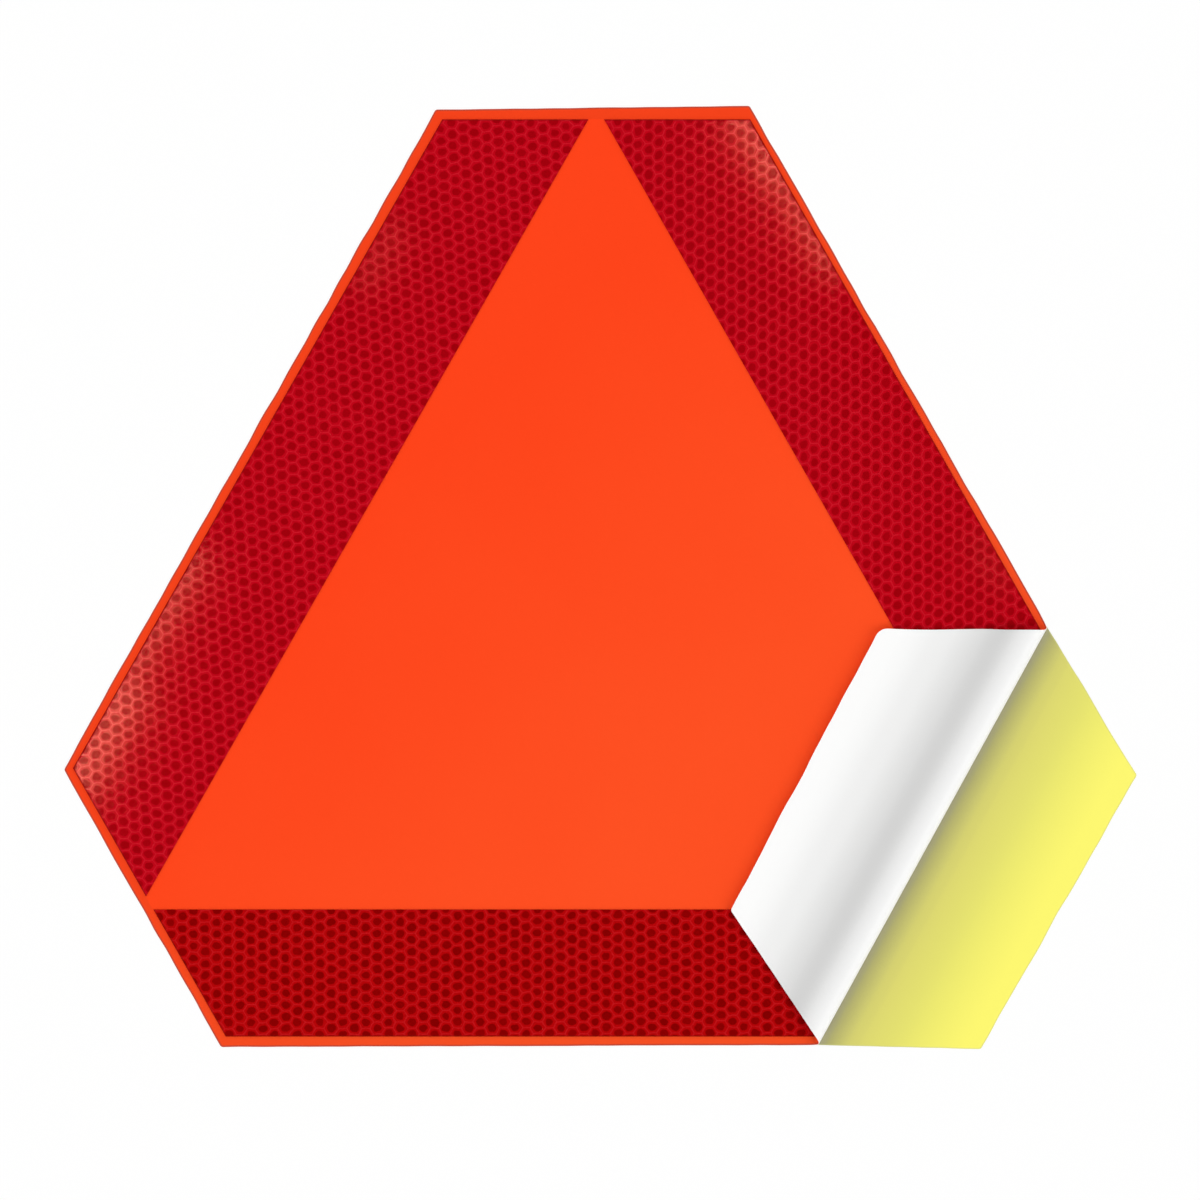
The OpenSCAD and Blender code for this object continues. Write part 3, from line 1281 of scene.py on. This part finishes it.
@dataclass(frozen=True)
class Studio:
    """A white table under soft lamps, with the camera straight above."""

    view_centre: Pair = (0.00145, 0.01667)
    view_width: float = 0.4608
    camera_height: float = 1.5
    sensor: float = 36.0
    glint_height: float = 1.0
    glint_tint: Colour = (1.0, 0.95, 0.62)
    glints: Tuple[Glint, ...] = (
        Glint("lower left glint", 150.35, 149.5, 130.0, 57.0, 18.0, 10.6),
        Glint("left glint", 150.35, 151.5, 73.0, 56.0, 10.0, 9.0),
        Glint("upper left glint", 150.35, 146.0, -88.0, 30.0, 9.0, 1.8),
        Glint("upper right glint", 29.65, 151.0, 137.0, 38.0, 12.0, 11.0),
        Glint("right glint", 29.65, 152.0, 99.0, 42.0, 9.0, 10.0),
        Glint("lower right glint", 29.65, 147.0, -47.0, 24.0, 8.0, 1.2),
    )
    lamps: Tuple[Tuple[str, float, float], ...] = (
        ("upper left lamp", 150, 1.9),
        ("upper right lamp", 60, 1.86),
        ("lower left lamp", 240, 1.86),
        ("lower right lamp", -30, 1.9),
    )
    lamp_reach: float = 1.5
    lamp_height: float = 1.4
    lamp_size: float = 1.35
    table: float = 14.0
    table_drop: float = 0.00005
    table_tone: float = 0.97
    table_glow: float = 0.88
    table_roughness: float = 0.8
    table_specular: float = 0.1
    ceiling: float = 0.05
    wall: float = 0.9
    wall_step: Step = (0.2, 0.6)

    def lay_table(self) -> None:
        """Lay the white table, which keeps a faint shadow of the sign."""
        mesh = bpy.data.meshes.new("table")
        half = self.table / 2
        corners = [(-half, -half, 0), (half, -half, 0), (half, half, 0), (-half, half, 0)]
        mesh.from_pydata(corners, [], [(0, 1, 2, 3)])
        table = add_object("table", mesh)
        table.location.z = -self.table_drop
        shader = Shader("white table", self.table_roughness, self.table_specular)
        shader.paint("Base Color", [self.table_tone] * 3)
        seen = shader.node("ShaderNodeLightPath", output="Is Camera Ray")
        outputs = seen.socket.node.outputs
        for name in ("Is Glossy Ray", "Is Transmission Ray"):
            seen = seen.most(Signal(shader, outputs[name]))
        glow = shader.node("ShaderNodeEmission", {}, {"Strength": 1.0})
        plain = Signal(shader, shader.surface.outputs[0])
        mixed = shader.node("ShaderNodeMixShader", {}, {0: seen * self.table_glow, 1: plain, 2: glow})
        shader.feed(shader.tree.nodes["Material Output"].inputs["Surface"], mixed)
        mesh.materials.append(shader.material)

    def paint_room(self) -> None:
        """Surround the table with pale walls under a dim ceiling."""
        world = bpy.data.worlds.new("room")
        world.use_nodes = True
        bpy.context.scene.world = world
        room = NodeTree(world.node_tree)
        _, _, rise = room.parts(room.node("ShaderNodeTexCoord", output="Generated"))
        background = room.tree.nodes["Background"]
        room.feed(background.inputs["Strength"], rise.eased(*self.wall_step, self.wall, self.ceiling))
        room.feed(background.inputs["Color"], (1.0, 1.0, 1.0))

    def hang_lamps(self) -> None:
        """Hang four large softboxes round the table and the small ones that glint on the strips."""
        size = (self.lamp_size, self.lamp_size)
        for name, angle, brightness in self.lamps:
            out = ray(angle) * self.lamp_reach
            Softbox(name, (out.x, out.y, self.lamp_height), size, brightness).hang()
        for glint in self.glints:
            self.reflected(glint).hang()

    def reflected(self, glint: Glint) -> Softbox:
        """Place the small lamp whose mirror image the camera sees as a glint.

        Args:
            glint: The glint that is wanted on the sign.

        Returns:
            The lamp, hung where its image falls on that place, at that size.
        """
        out = ray(glint.side)
        spot = (out * glint.reach + Vector((-out.y, out.x)) * glint.along) * MILLI
        centre = Vector(self.view_centre)
        grow = self.glint_height / self.camera_height
        place = spot + (spot - centre) * grow
        size = (glint.length * MILLI * (1 + grow), glint.width * MILLI * (1 + grow))
        below = (place.x, place.y, 0.0)
        above = (place.x, place.y, self.glint_height)
        spin = glint.side + 90
        return Softbox(glint.name, above, size, glint.brightness, self.glint_tint, below, spin)

    def set_camera(self) -> None:
        """Hang the camera above the table, square to the sign."""
        camera = bpy.data.cameras.new("camera")
        camera.sensor_width = self.sensor
        camera.lens = self.sensor * self.camera_height / self.view_width
        holder = add_object("camera", camera)
        holder.location = (*self.view_centre, self.camera_height)
        bpy.context.scene.camera = holder

    def build(self) -> None:
        """Set up the table, the room, the lamps and the camera."""
        self.set_camera()
        self.lay_table()
        self.paint_room()
        self.hang_lamps()
        bpy.context.scene.view_settings.view_transform = "Standard"


def main() -> None:
    """Build the studio and the decal."""
    logging.basicConfig(level=logging.INFO)
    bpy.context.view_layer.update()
    Studio().build()
    Decal().build()


if __name__ == "__main__":
    main()
